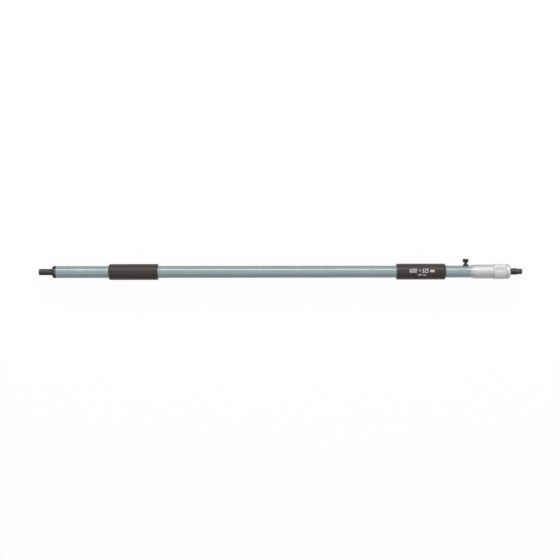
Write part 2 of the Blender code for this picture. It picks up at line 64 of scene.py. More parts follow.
# Sizes of the solids that the pieces stand for
TUBE_R, TUBE_BORE_R = 7.42, 5.92
TUBE_START, TUBE_END = 21.8, 534.7
GRIP_R, GRIP_LENGTH = 9.9, 60.4
GRIP_OUTER_FILLET, GRIP_INNER_FILLET = 1.8, 0.5
ANVIL_GRIP_START, HEAD_GRIP_START = 87.4, 444.1
ANVIL_R, ANVIL_REACH, ANVIL_END = 3.82, 16.8, 41.5
COLLAR_R, COLLAR_NOSE_R, COLLAR_CONE_END, COLLAR_END = 7.42, 5.42, 18.1, 21.5
SPINDLE_R, NECK_R, THREAD_R, JOURNAL_R, SEAT_R = 3.9, 3.25, 3.6, 3.2, 4.5
SPINDLE_START, THREAD_START, SEAT_TOP, NECK_START = 497.1, 533.9, 577.7, 595.1
JOURNAL_STEP, NECK_TAPER, THREAD_RUNOUT = 0.4, 1.2, 0.5
TIP_LENGTH, TIP_DOME, TIP_FLAT_R, TIP_CHAMFER = 2, 28, 0.8, 0.3
SLEEVE_R, SLEEVE_BORE_R = 7.05, 5.72
SLEEVE_START, SLEEVE_END = 535.0, 564.6
EDGE, EDGE_R, BARREL_R = 536.6, 7.75, 8.6
BEVEL_END, BARREL_END = 542.7, 562.9
GROOVE_LENGTH, GROOVE_DEPTH = 0.9, 0.3
KNURL_R, KNURL_FOOT_R = 9.25, 8.95
THIMBLE_BORE_R, THIMBLE_SEAT_R = 7.15, 4.8
BODY_END, THIMBLE_END, HOLLOW_END = 579.5, 584.4, 573.1
RECESS_R, RECESS_FLOOR = 6.1, 577.4
CAP_R, CAP_FACE_R, CAP_BORE_R, CAP_CHAMFER = 9.05, 7.85, 4.2, 1.2
CAP_BOSS_R, CAP_BOSS_END = 5.8, 577.7
HOOK_HOLE_R, COLLAR_HOLE_DEPTH, SLEEVE_HOLE_PLACE = 0.8, 1.6, 14
PIN_HOLE_R, PIN_HOLE_DEPTH = 0.6, 1.5
CLAMP_BUSH_R, CLAMP_BUSH_FOOT, CLAMP_BUSH_SHOULDER = 3.2, 4.9, 8.7
CLAMP_BUSH_TOP, CLAMP_BUSH_TOP_R = 10.1, 2.1
CLAMP_STEM_R, CLAMP_STEM_FOOT, CLAMP_STEM_CHAMFER = 1.3, 5.4, 0.3
CLAMP_HEAD_R, CLAMP_HEAD_FOOT, CLAMP_HEAD_TOP = 3.5, 10.75, 15.65
CLAMP_HEAD_CONE, CLAMP_HEAD_CHAMFER, CLAMP_HEAD_ROOT = 0.9, 0.35, 0.1
SCREW_PITCH = 0.5
TRAVEL, THIMBLE_DIVISIONS = 25, 50

# Ends of seated pieces, moved so that the gaps between their solids look nearly closed
TUBE_STOP, COLLAR_STOP = TUBE_END + 0.18, COLLAR_END + 0.22
BODY_STOP, CAP_START = BODY_END - 0.02, BODY_END + 0.1

# Hairline gaps that keep the faces of two pieces apart
GRIP_FIT, COLLAR_FIT, BUSH_FIT, STEM_FIT, TIP_FIT = 0.03, 0.05, 0.07, 0.04, 0.03

# Knurls: the thimble's of crossed diamonds, the clamp screw's straight
KNURL_MARGIN, KNURL_CHAMFER = 0.3, 0.15
KNURL_START, KNURL_STOP = BARREL_END + GROOVE_LENGTH + KNURL_MARGIN, BODY_END - KNURL_CHAMFER
KNURL_ROWS, KNURL_DEPTH = 30, 0.17
KNURL_STEP = (KNURL_STOP - KNURL_START) / KNURL_ROWS
CLAMP_TEETH, CLAMP_KNURL_DEPTH = 36, 0.22

# Facets
SIDES = 144
SMALL_SIDES = 96
HOLE_SIDES = 40
FILLET_STEPS = 5
DOME_STEPS = 8
THREAD_ROWS = 4
ARC_STEP = math.radians(3)
SHARP_ANGLE = math.radians(35)

# Points this near to a radius or a place count as lying on it
TOUCH = 0.001

# How far a drill's bit stands out of the surface that it goes into, and the same for the clamp bush's hole
BIT_OUT, CLAMP_BIT_OUT = 1, 4

# Print and scales: half their thickness, the width of a line, and the lengths of the scales' lines
PRINT_THICKNESS, SCALE_THICKNESS = 0.02, 0.012
SLEEVE_LINE, SLEEVE_LONG, SLEEVE_SHORT = 0.12, 2.6, 1.7
THIMBLE_LINE, THIMBLE_LONG, THIMBLE_SHORT = 0.13, 2.7, 1.8
INDEX_START, INDEX_END = SLEEVE_START + 0.3, EDGE + 27
THIMBLE_LINES_START, THIMBLE_FIGURES_PLACE = EDGE + 0.2, EDGE + 4.2

# Lettering: the height of a capital over the font's size, the steps in a curve, how high the slices are that
# let a letter bend, and how near two points are that become one
CAPITAL = 0.73
LETTER_STEPS = 6
LETTER_SLICE = 0.35
LETTER_MERGE = 0.0005

# Colours of the finishes, with the chrome's knurl lightened by painted light and its grooves darkened by
# painted shade and dirt
PAINT_RIM, PAINT_CELL = (0.226, 0.275, 0.291), (0.273, 0.327, 0.346)
PAINT_CLOUD, PAINT_FLAKE, PAINT_WORN = (0.26, 0.307, 0.325), (0.5, 0.56, 0.58), (0.42, 0.42, 0.43)
PLASTIC_DARK, PLASTIC_LIGHT = (0.012, 0.0065, 0.005), (0.019, 0.0105, 0.0085)
PLASTIC_RUBBED = (0.055, 0.045, 0.041)
OXIDE_DARK, OXIDE_LIGHT = (0.044, 0.039, 0.041), (0.062, 0.056, 0.058)
OXIDE_RING, OXIDE_RUBBED = (0.075, 0.07, 0.072), (0.3, 0.29, 0.29)
CHROME_DARK, CHROME_LIGHT = (0.53, 0.525, 0.52), (0.57, 0.565, 0.56)
CHROME_RING, CHROME_KNURL_PAINTED_SHEEN, CHROME_GROOVE_SHADE_AND_DIRT = (0.47, 0.465, 0.46), (0.64, 0.637, 0.62), (0.36, 0.35, 0.34)
FACE_DARK, FACE_LIGHT = (0.3, 0.3, 0.31), (0.4, 0.4, 0.41)
STEEL_DARK, STEEL_LIGHT = (0.5, 0.5, 0.51), (0.6, 0.6, 0.61)
BRASS_DARK, BRASS_LIGHT = (0.66, 0.46, 0.2), (0.76, 0.56, 0.28)
BLACK_INK, BLACK_INK_FADED = (0.015, 0.015, 0.017), (0.05, 0.05, 0.052)
WHITE_INK, WHITE_INK_FADED = (0.88, 0.87, 0.86), (0.7, 0.69, 0.68)


def outline_points(corners):
    """An outline of (radius, place, fillet) corners as points, curved at each corner that has a fillet."""
    points = []
    for i, (radius, place, fillet) in enumerate(corners):
        corner = Vector((radius, place))
        if not fillet:
            points.append(corner)
            continue
        before = Vector(corners[i - 1][:2]) - corner
        after = Vector(corners[(i + 1) % len(corners)][:2]) - corner
        reach = fillet / math.tan(before.angle(after) / 2)
        start = corner + before.normalized() * reach
        end = corner + after.normalized() * reach
        for step in range(FILLET_STEPS + 1):
            t = step / FILLET_STEPS
            points.append(start * (1 - t) ** 2 + corner * 2 * t * (1 - t) + end * t**2)
    return points


def shade(mesh):
    """Smooth shading, with the edges sharp where the mesh turns by more than SHARP_ANGLE."""
    mesh.shade_smooth()
    mesh.set_sharp_from_angle(angle=SHARP_ANGLE)


def new_piece(name, work, place):
    """A piece of the object from a bmesh, which this uses up."""
    mesh = bpy.data.meshes.new(name)
    work.to_mesh(mesh)
    work.free()
    shade(mesh)
    piece = bpy.data.objects.new(name, mesh)
    bpy.context.scene.collection.objects.link(piece)
    piece.matrix_world = place
    return piece


def evaluated_mesh(thing):
    """The mesh that an object has once its modifiers or its text are worked out."""
    bpy.context.view_layer.update()
    return bpy.data.meshes.new_from_object(thing.evaluated_get(bpy.context.evaluated_depsgraph_get()))


def lathe(corners, sides=SIDES, hollow=False):
    """A bmesh turned round Z from an outline that runs down the outer side, and up the bore if hollow."""
    work = bmesh.new()
    rings = []
    for radius, place in outline_points(corners):
        ring = []
        for column in range(sides if radius > 0 else 1):
            angle = math.tau * column / sides
            point = (radius * math.cos(angle) * MM, radius * math.sin(angle) * MM, place * MM)
            ring.append(work.verts.new(point))
        rings.append(ring)
    pairs = list(zip(rings, rings[1:]))
    if hollow:
        pairs.append((rings[-1], rings[0]))
    for high, low in pairs:
        for column in range(sides):
            after = (column + 1) % sides
            if len(high) == 1:
                work.faces.new((high[0], low[column], low[after]))
            elif len(low) == 1:
                work.faces.new((high[column], low[0], high[after]))
            else:
                work.faces.new((high[column], low[column], low[after], high[after]))
    return work


def press(work, outer_r, depth_at):
    """Moves each point on the outer radius inwards by what depth_at says of its angle and place."""
    for vertex in work.verts:
        radius = vertex.co.xy.length / MM
        if radius > outer_r - TOUCH:
            angle = math.atan2(vertex.co.y, vertex.co.x)
            vertex.co.xy *= (radius - depth_at(angle, vertex.co.z / MM)) / radius
    bmesh.ops.triangulate(work, faces=work.faces[:], quad_method="SHORT_EDGE")


def drill(piece, radius, low, high, place):
    """Bores a round hole along the Z axis of that place, from low to high."""
    bit = [(0, high, 0), (radius, high, 0), (radius, low, 0), (0, low, 0)]
    hole = new_piece("hole", lathe(bit, HOLE_SIDES), place)
    step = piece.modifiers.new("hole", "BOOLEAN")
    step.operation = "DIFFERENCE"
    step.object = hole
    bored = evaluated_mesh(piece)
    piece.modifiers.clear()
    piece.data = bored
    bpy.data.objects.remove(hole)
    shade(bored)


def drill_hook_hole(piece, place, floor_r):
    """The hole for the hook spanner, on the side away from the printing."""
    away = ROD @ Matrix.Translation((0, 0, place * MM)) @ Matrix.Rotation(math.pi / 2, 4, "X")
    drill(piece, HOOK_HOLE_R, floor_r, COLLAR_R + BIT_OUT, away)


def finish_piece(piece, body, materials, nodes=()):
    """Gives a piece its materials and the body that it rides on, and hides the solids that it stands for."""
    for look in materials:
        piece.data.materials.append(look)
    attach(piece, body)
    if nodes:
        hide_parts(*nodes)


class Nodes:
    """A material with short ways to add and link its nodes, textured by the piece's own coordinates."""

    def __init__(self, name):
        self.material = bpy.data.materials.new(name)
        self.material.use_nodes = True
        self.tree = self.material.node_tree
        self.shader = self.tree.nodes["Principled BSDF"]
        self.where = self.add("ShaderNodeTexCoord").outputs["Object"]

    def add(self, kind, inputs=None, **settings):
        made = self.tree.nodes.new(kind)
        for key, value in settings.items():
            setattr(made, key, value)
        for key, value in (inputs or {}).items():
            self.feed(made.inputs[key], value)
        return made

    def feed(self, socket, value):
        """Links an output to a socket, or sets the socket to a plain value."""
        if isinstance(value, bpy.types.NodeSocket):
            self.tree.links.new(value, socket)
        else:
            socket.default_value = value

    def shade(self, **values):
        """Sets inputs of the shader, such as base_color or coat_weight."""
        for key, value in values.items():
            self.feed(self.shader.inputs[key.replace("_", " ").title().replace("Ior", "IOR")], value)

    def scaled(self, size, stretch):
        """The coordinates in units of that size in millimetres, drawn out along the axes by stretch."""
        scale = [1 / (size * MM * s) for s in stretch]
        return self.add("ShaderNodeMapping", {"Vector": self.where, "Scale": scale}).outputs[0]

    def noise(self, size, detail=2.0, roughness=0.5, stretch=(1, 1, 1), distortion=0.0):
        """Noise with features of that size in millimetres."""
        inputs = {"Vector": self.scaled(size, stretch), "Scale": 1.0, "Detail": detail}
        inputs |= {"Roughness": roughness, "Distortion": distortion}
        return self.add("ShaderNodeTexNoise", inputs).outputs["Fac"]

    def cells(self, size, stretch):
        """Smooth cells of that size in millimetres: 0 in the middle of a cell and more towards its rim."""
        inputs = {"Vector": self.scaled(size, stretch), "Scale": 1.0, "Smoothness": 0.4}
        return self.add("ShaderNodeTexVoronoi", inputs, feature="SMOOTH_F1").outputs["Distance"]

    def spread(self, value, low, high, to_low, to_high):
        """Maps a value from one range to another, held inside it."""
        inputs = {"Value": value, "From Min": low, "From Max": high, "To Min": to_low, "To Max": to_high}
        return self.add("ShaderNodeMapRange", inputs).outputs["Result"]

    def vary(self, noise, to_low, to_high):
        """Maps the range that noise mostly keeps to, 0.3 to 0.7, to another."""
        return self.spread(noise, 0.3, 0.7, to_low, to_high)

    def calc(self, operation, first, second):
        """The result of a sum such as ADD or MULTIPLY."""
        made = self.add("ShaderNodeMath", operation=operation)
        self.feed(made.inputs[0], first)
        self.feed(made.inputs[1], second)
        return made.outputs[0]

    def blend(self, share, first, second):
        """Mixes two colours."""
        made = self.add("ShaderNodeMix", data_type="RGBA")
        self.feed(made.inputs["Factor"], share)
        self.feed(made.inputs["A"], (*first, 1) if isinstance(first, tuple) else first)
        self.feed(made.inputs["B"], (*second, 1) if isinstance(second, tuple) else second)
        return made.outputs["Result"]

    def along(self):
        """The place along the axis, in millimetres."""
        split = self.add("ShaderNodeSeparateXYZ", {"Vector": self.where})
        return self.calc("DIVIDE", split.outputs["Z"], MM)

    def radius(self):
        """The distance from the axis, in millimetres."""
        flat = self.add("ShaderNodeVectorMath", {0: self.where, 1: (1, 1, 0)}, operation="MULTIPLY")
        length = self.add("ShaderNodeVectorMath", {0: flat.outputs[0]}, operation="LENGTH")
        return self.calc("DIVIDE", length.outputs["Value"], MM)

    def rings(self, size):
        """Fine turning marks of that size in millimetres, which run round the axis."""
        return self.noise(size, detail=3, stretch=(400, 400, 1))

    def bump(self, height, depth, strength):
        """A bump whose height of 1 is that depth in millimetres."""
        inputs = {"Height": height, "Distance": depth * MM, "Strength": strength}
        return self.add("ShaderNodeBump", inputs).outputs["Normal"]

    def near(self, places, reach):
        """1 at these places along the axis, falling to 0 at that distance from them."""
        along = self.along()
        total = 0.0
        for place in places:
            away = self.calc("ABSOLUTE", self.calc("SUBTRACT", along, place), 0.0)
            total = self.calc("MAXIMUM", total, self.spread(away, 0, reach, 1, 0))
        return total


def hammertone():
    look = Nodes("hammertone_paint")
    cells = look.cells(1.5, stretch=(1, 1, 1.25))
    ripple = look.noise(0.9, detail=2.5, roughness=0.55, distortion=0.6)
    broad = look.noise(38, detail=3, roughness=0.6)
    flake = look.noise(0.16, detail=1)
    relief = look.calc("ADD", look.spread(cells, 0.1, 0.72, 1.15, 0), look.vary(ripple, 0, 0.3))
    colour = look.blend(look.spread(relief, 0.25, 1.2, 0, 1), PAINT_RIM, PAINT_CELL)
    colour = look.blend(look.vary(broad, 0, 0.35), colour, PAINT_CLOUD)
    colour = look.blend(look.spread(flake, 0.6, 0.72, 0, 0.2), colour, PAINT_FLAKE)
    ragged = look.calc("ADD", look.near((TUBE_START, TUBE_END), 1.1), look.vary(ripple, -0.45, 0.1))
    worn = look.spread(ragged, 0.62, 0.7, 0, 1)
    colour = look.blend(worn, colour, PAINT_WORN)
    look.shade(
        base_color=colour,
        roughness=look.calc("ADD", look.vary(flake, 0.26, 0.34), look.vary(broad, -0.02, 0.04)),
        metallic=look.spread(worn, 0, 1, 0.5, 1),
        specular_tint=(0.3, 0.3, 0.3, 1),
        coat_weight=0.12,
        coat_roughness=0.14,
        normal=look.bump(relief, 0.04, 0.42),
    )
    return look.material


def black_plastic():
    look = Nodes("black_plastic")
    grain = look.noise(0.22, detail=3, roughness=0.6)
    cloud = look.noise(14, detail=4, roughness=0.6)
    scuffs = look.noise(2.2, detail=3, roughness=0.7, stretch=(0.35, 0.35, 3.2))
    rims = []
    for start in (ANVIL_GRIP_START, HEAD_GRIP_START):
        rims += [start, start + GRIP_LENGTH]
    rim = look.near(rims, 2.4)
    rubbed = look.calc("MULTIPLY", look.spread(scuffs, 0.5, 0.72, 0, 1), look.spread(rim, 0, 1, 0.25, 1))
    colour = look.blend(look.vary(cloud, 0, 1), PLASTIC_DARK, PLASTIC_LIGHT)
    colour = look.blend(look.calc("MULTIPLY", rubbed, 0.45), colour, PLASTIC_RUBBED)
    relief = look.calc("ADD", grain, look.calc("MULTIPLY", rubbed, -0.5))
    look.shade(
        base_color=colour,
        roughness=look.calc("ADD", look.vary(cloud, 0.41, 0.47), look.spread(rubbed, 0, 1, 0, 0.08)),
        specular_ior_level=0.48,
        normal=look.bump(relief, 0.018, 0.4),
    )
    return look.material


def black_oxide(name, edges, size):
    """Blackened steel with fine turning marks of that size, rubbed to grey steel at its edges."""
    look = Nodes(name)
    rings = look.rings(size)
    cloud = look.noise(5, detail=4, roughness=0.6)
    scratches = look.noise(0.5, detail=2, stretch=(0.5, 0.5, 9))
    rubbed = look.calc("MULTIPLY", look.near(edges, 0.45), look.spread(cloud, 0.38, 0.62, 0.15, 1))
    rubbed = look.calc("MAXIMUM", rubbed, look.spread(scratches, 0.7, 0.78, 0, 0.4))
    colour = look.blend(look.vary(cloud, 0, 1), OXIDE_DARK, OXIDE_LIGHT)
    colour = look.blend(look.spread(rings, 0.42, 0.62, 0, 0.3), colour, OXIDE_RING)
    colour = look.blend(look.calc("MULTIPLY", rubbed, 0.6), colour, OXIDE_RUBBED)
    relief = look.calc("ADD", rings, look.calc("MULTIPLY", scratches, -0.3))
    look.shade(
        base_color=colour,
        roughness=look.calc("ADD", look.spread(rings, 0.35, 0.65, 0.17, 0.25), look.vary(cloud, 0, 0.06)),
        metallic=1.0,
        specular_tint=(0.2, 0.2, 0.2, 1),
        normal=look.bump(relief, 0.006, 0.5),
    )
    return look.material


def satin_chrome():
    look = Nodes("satin_chrome")
    rings = look.rings(0.09)
    smears = look.noise(7, detail=4, roughness=0.6, stretch=(1, 1, 1.6))
    grain = look.noise(0.12, detail=2)
    groove_end = BARREL_END + GROOVE_LENGTH
    on_knurl = look.spread(look.along(), groove_end, groove_end + 0.2, 0, 1)
    # Painted shade, with some dirt: the chrome is darkened towards the foot of the knurl, down in its grooves
    foot = look.spread(look.radius(), KNURL_FOOT_R + 0.03, KNURL_R - 0.05, 1, 0)
    groove_shade_and_dirt = look.calc("MULTIPLY", look.calc("MULTIPLY", on_knurl, foot), look.vary(smears, 0, 0.06))
    colour = look.blend(look.vary(smears, 0, 1), CHROME_DARK, CHROME_LIGHT)
    colour = look.blend(look.spread(rings, 0.35, 0.65, 0, 0.1), colour, CHROME_RING)
    # Painted light: the knurled band is made lighter than the rest of the chrome, for the light that its
    # small facets catch
    colour = look.blend(look.calc("MULTIPLY", on_knurl, 0.5), colour, CHROME_KNURL_PAINTED_SHEEN)
    colour = look.blend(groove_shade_and_dirt, colour, CHROME_GROOVE_SHADE_AND_DIRT)
    relief = look.calc("ADD", look.calc("MULTIPLY", rings, 0.8), look.calc("MULTIPLY", grain, 0.6))
    look.shade(
        base_color=colour,
        roughness=look.calc("ADD", look.vary(smears, 0.54, 0.6), look.vary(grain, -0.02, 0.03)),
        metallic=1.0,
        specular_tint=(0.35, 0.35, 0.35, 1),
        normal=look.bump(relief, 0.006, 0.4),
    )
    return look.material


def hard_face():
    look = Nodes("hard_face")
    grain = look.noise(0.08, detail=3)
    arcs = look.noise(0.6, detail=3, stretch=(0.12, 1, 1))
    look.shade(
        base_color=look.blend(look.vary(arcs, 0, 1), FACE_DARK, FACE_LIGHT),
        roughness=look.vary(grain, 0.12, 0.24),
        metallic=1.0,
        normal=look.bump(look.calc("ADD", grain, arcs), 0.002, 0.5),
    )
    return look.material


def turned_metal(name, dark, light):
    look = Nodes(name)
    rings = look.rings(0.14)
    cloud = look.noise(4, detail=4)
    look.shade(
        base_color=look.blend(look.vary(cloud, 0, 1), dark, light),
        roughness=look.vary(rings, 0.24, 0.4),
        metallic=1.0,
        normal=look.bump(rings, 0.01, 0.6),
    )
    return look.material


def ink(name, colour, faded, roughness):
    """Paint in an engraved line, or a printed letter, worn thin in places."""
    look = Nodes(name)
    patches = look.noise(0.7, detail=4, roughness=0.7)
    look.shade(
        base_color=look.blend(look.spread(patches, 0.45, 0.7, 0, 1), colour, faded),
        roughness=look.vary(patches, roughness, roughness + 0.15),
        normal=look.bump(patches, 0.006, 0.4),
    )
    return look.material


# Places along the rod, and along the clamp screw, where the black is rubbed
TIP_RIM = 0.4
SPINDLE_EDGES = (
    TIP_RIM,
    ANVIL_REACH,
    COLLAR_CONE_END,
    THIMBLE_END + 0.2,
    NECK_START - NECK_TAPER,
    NECK_START,
    LENGTH - TIP_RIM,
)
CLAMP_EDGES = (CLAMP_BUSH_SHOULDER, CLAMP_BUSH_TOP, CLAMP_HEAD_FOOT + CLAMP_HEAD_CONE, CLAMP_HEAD_TOP)

paint = hammertone()
plastic = black_plastic()
chrome = satin_chrome()
spindle_black = black_oxide("blackened_spindle", SPINDLE_EDGES, 0.11)
clamp_black = black_oxide("blackened_clamp", CLAMP_EDGES, 0.09)
face = hard_face()
steel = turned_metal("bare_steel", STEEL_DARK, STEEL_LIGHT)
brass = turned_metal("brass_plug", BRASS_DARK, BRASS_LIGHT)
black_ink = ink("black_ink", BLACK_INK, BLACK_INK_FADED, 0.4)
white_ink = ink("white_ink", WHITE_INK, WHITE_INK_FADED, 0.45)


def cylinder_point(radius, turn, place):
    """A point in metres, at that angle from the printed side towards the clamp screw."""
    return Vector((radius * math.sin(turn), radius * math.cos(turn), place)) * MM


def plain_wall(radius):
    """A wall for marks to stand on, with the same radius all along."""
    return lambda place: radius


def bevelled_wall(place):
    """The thimble's radius at a place on its bevel or its barrel."""
    share = (place - EDGE) / (BEVEL_END - EDGE)
    return EDGE_R + (BARREL_R - EDGE_R) * min(share, 1)


def add_bar(work, low, high, width, turn, radius_at, height):
    """A thin bar along the rod, from low to high, that stands on a round wall."""
    corners = []
    for place in (low, high):
        wall = radius_at(place)
        half = width / 2 / wall
        for radius in (wall - height, wall + height):
            for side in (-half, half):
                corners.append(work.verts.new(cylinder_point(radius, turn + side, place)))
    for box_side in ((0, 1, 3, 2), (4, 6, 7, 5), (0, 2, 6, 4), (1, 5, 7, 3), (2, 3, 7, 6), (0, 4, 5, 1)):
        work.faces.new([corners[i] for i in box_side])


def add_arc(work, place, width, end, radius_at, height):
    """A thin bar round the rod, from the printed side to that angle."""
    steps = max(2, round(abs(end) / ARC_STEP))
    rings = []
    for step in range(steps + 1):
        turn = end * step / steps
        ring = []
        for at in (place - width / 2, place + width / 2):
            wall = radius_at(at)
            ring.append(work.verts.new(cylinder_point(wall - height, turn, at)))
            ring.append(work.verts.new(cylinder_point(wall + height, turn, at)))
        rings.append([ring[0], ring[1], ring[3], ring[2]])
    for before, after in zip(rings, rings[1:]):
        for i in range(4):
            j = (i + 1) % 4
            work.faces.new((before[i], after[i], after[j], before[j]))
    work.faces.new(rings[0])
    work.faces.new(rings[-1][::-1])


def add_text(work, text, height, narrow, weight, turn, place, radius_at, thickness, spacing=1.0):
    """Text wrapped on a round wall, reading along the rod, with its middle at that angle and place."""
    curve = bpy.data.curves.new("text", "FONT")
    curve.body = text
    curve.size = height * MM / CAPITAL
    curve.offset = weight * MM
    curve.extrude = thickness * MM
    curve.space_character = spacing
    curve.resolution_u = LETTER_STEPS
    holder = bpy.data.objects.new("text", curve)
    bpy.context.scene.collection.objects.link(holder)
    flat = evaluated_mesh(holder)
    bpy.data.objects.remove(holder)
    letters = bmesh.new()
    letters.from_mesh(flat)
    bpy.data.meshes.remove(flat)
    bmesh.ops.remove_doubles(letters, verts=letters.verts, dist=LETTER_MERGE * MM)
    xs = [v.co.x for v in letters.verts]
    ys = [v.co.y for v in letters.verts]
    middle = Vector(((min(xs) + max(xs)) / 2, (min(ys) + max(ys)) / 2, 0))
    slices = max(1, math.ceil((max(ys) - min(ys)) / (LETTER_SLICE * MM)))
    for cut in range(1, slices):
        level = min(ys) + (max(ys) - min(ys)) * cut / slices
        geometry = letters.verts[:] + letters.edges[:] + letters.faces[:]
        bmesh.ops.bisect_plane(letters, geom=geometry, plane_co=(0, level, 0), plane_no=(0, 1, 0))
    bmesh.ops.triangulate(letters, faces=letters.faces[:])
    for vertex in letters.verts:
        offset = (vertex.co - middle) / MM
        at = place + offset.x * narrow
        wall = radius_at(at)
        vertex.co = cylinder_point(wall + offset.z, turn + offset.y / wall, at)
    bmesh.ops.recalc_face_normals(letters, faces=letters.faces[:])
    mesh = bpy.data.meshes.new("letters")
    letters.to_mesh(mesh)
    letters.free()
    work.from_mesh(mesh)
    bpy.data.meshes.remove(mesh)


def make_tube():
    outline = [
        (TUBE_R, TUBE_STOP, 0.3),
        (TUBE_R, TUBE_START, 0.3),
        (TUBE_BORE_R, TUBE_START, 0.15),
        (TUBE_BORE_R, TUBE_STOP, 0.15),
    ]
    piece = new_piece("tube", lathe(outline, hollow=True), ROD)
    drill(piece, CLAMP_BUSH_R + BUSH_FIT, CLAMP_BUSH_FOOT, TUBE_R + CLAMP_BIT_OUT, CLAMP)
    finish_piece(piece, "rod", [paint], ["rod_tube"])


def make_grip(name, node, start, low_fillet, high_fillet):
    end = start + GRIP_LENGTH
    bore = TUBE_R + GRIP_FIT
    outline = [
        (GRIP_R, end, high_fillet),
        (GRIP_R, start, low_fillet),
        (bore, start, 0.2),
        (bore, end, 0.2),
    ]
    piece = new_piece(name, lathe(outline, hollow=True), ROD)
    finish_piece(piece, "rod", [plastic], [node])


def make_print():
    """The range on the head's grip, and the reading below it."""
    work = bmesh.new()
    on_grip = {"radius_at": plain_wall(GRIP_R), "thickness": PRINT_THICKNESS}
    range_turn = 0.11
    add_text(work, "600", height=5.4, narrow=0.84, weight=-0.1, turn=range_turn, place=463.9, **on_grip)
    add_bar(work, 470.8, 473.0, 0.6, range_turn, plain_wall(GRIP_R), PRINT_THICKNESS)
    add_text(work, "625", height=5.4, narrow=0.72, weight=-0.1, turn=range_turn, place=478.9, **on_grip)
    add_text(work, "mm", height=4.6, narrow=0.56, weight=0.06, turn=0.06, place=487.3, **on_grip)
    reading = {"height": 2.5, "narrow": 0.8, "weight": 0, "turn": -0.42, "place": 474.8, "spacing": 1.06}
    add_text(work, "0.01 mm", **reading, **on_grip)
    piece = new_piece("range_print", work, ROD)
    finish_piece(piece, "rod", [white_ink])


def make_anvil_end():
    bore = ANVIL_R + COLLAR_FIT
    outline = [
        (COLLAR_R, COLLAR_STOP, 0.12),
        (COLLAR_R, COLLAR_CONE_END, 0.15),
        (COLLAR_NOSE_R, ANVIL_REACH, 0.12),
        (bore, ANVIL_REACH, 0.08),
        (bore, COLLAR_STOP, 0),
    ]
    piece = new_piece("anvil_collar_turned", lathe(outline, hollow=True), ROD)
    drill_hook_hole(piece, (COLLAR_CONE_END + COLLAR_END) / 2, COLLAR_R - COLLAR_HOLE_DEPTH)
    finish_piece(piece, "rod", [spindle_black], ["anvil_collar"])

    outline = [
        (0, ANVIL_END, 0),
        (ANVIL_R, ANVIL_END, 0.4),
        (ANVIL_R, TIP_LENGTH + TIP_FIT, 0.06),
        (0, TIP_LENGTH + TIP_FIT, 0),
    ]
    piece = new_piece("anvil_rod", lathe(outline, SMALL_SIDES), ROD)
    finish_piece(piece, "rod", [spindle_black], ["anvil"])


def tip_corners(radius):
    """A measuring tip's outline from its back down to the flat in the middle of its domed face."""

    def sag(r):
        return TIP_DOME - math.sqrt(TIP_DOME**2 - r**2)

    rim = radius - TIP_CHAMFER
    corners = [(0, TIP_LENGTH, 0), (radius, TIP_LENGTH, 0.06), (radius, sag(rim) + TIP_CHAMFER, 0.05)]
    for step in range(DOME_STEPS + 1):
        r = rim + (TIP_FLAT_R - rim) * step / DOME_STEPS
        corners.append((r, sag(r) - sag(TIP_FLAT_R), 0))
    corners.append((0, 0, 0))
    return corners


def make_tip(name, node, body, radius, mirrored):
    """A hard tip, with its sides blackened and its domed face ground bright."""
    ground_depth = 0.45
    work = lathe(tip_corners(radius), SMALL_SIDES)
    if mirrored:
        for vertex in work.verts:
            vertex.co.z = LENGTH * MM - vertex.co.z
        bmesh.ops.reverse_faces(work, faces=work.faces[:])
    for polygon in work.faces:
        away = polygon.calc_center_median().z / MM
        away = LENGTH - away if mirrored else away
        polygon.material_index = 1 if away < ground_depth else 0
    piece = new_piece(name, work, ROD)
    finish_piece(piece, body, [spindle_black, face], [node])


def thread_rows(radius, high, low):
    """Outline points close enough together to press a thread into, down a plain stretch."""
    count = round((high - low) / SCREW_PITCH * THREAD_ROWS)
    return [(radius, high + (low - high) * row / count, 0) for row in range(count + 1)]


def thread_depth(angle, place):
    """Depth of a right-hand thread's vee, at most half of its pitch."""
    phase = (place / SCREW_PITCH - angle / math.tau) % 1
    return 0.5 * SCREW_PITCH * (1 - abs(2 * phase - 1))


def cut_thread(work, radius, low, high):
    """Presses a thread into the stretch of a turned piece that thread_rows laid out."""
    for vertex in work.verts:
        reach, place = vertex.co.xy.length / MM, vertex.co.z / MM
        if low - TOUCH < place < high + TOUCH and abs(reach - radius) < TOUCH:
            angle = math.atan2(vertex.co.y, vertex.co.x)
            vertex.co.xy *= 1 - thread_depth(angle, place) / reach


def make_spindle():
    tip_back = LENGTH - TIP_LENGTH - TIP_FIT
    thread_end = HOLLOW_END - THREAD_RUNOUT
    outline = [
        (0, tip_back, 0),
        (NECK_R, tip_back, 0.06),
        (NECK_R, NECK_START, 0.2),
        (SPINDLE_R, NECK_START - NECK_TAPER, 0.2),
        (SPINDLE_R, SEAT_TOP, 0),
        (SEAT_R, HOLLOW_END, 0),
        (THREAD_R, HOLLOW_END, 0),
        *thread_rows(THREAD_R, thread_end, THREAD_START),
        (JOURNAL_R, THREAD_START - JOURNAL_STEP, 0),
        (JOURNAL_R, SPINDLE_START, 0.4),
        (0, SPINDLE_START, 0),
    ]
    work = lathe(outline, SMALL_SIDES)
    cut_thread(work, THREAD_R, THREAD_START, thread_end)
    piece = new_piece("spindle_rod", work, ROD)
    finish_piece(piece, "thimble_and_spindle", [spindle_black], ["spindle"])


def make_sleeve():
    outline = [
        (SLEEVE_R, SLEEVE_END, 0.2),
        (SLEEVE_R, SLEEVE_START, 0.2),
        (SLEEVE_BORE_R, SLEEVE_START, 0),
        (SLEEVE_BORE_R, SLEEVE_END, 0),
    ]
    piece = new_piece("graduated_sleeve", lathe(outline, hollow=True), ROD)
    drill_hook_hole(piece, SLEEVE_START + SLEEVE_HOLE_PLACE, 0)
    finish_piece(piece, "sleeve", [chrome], ["outer_sleeve"])


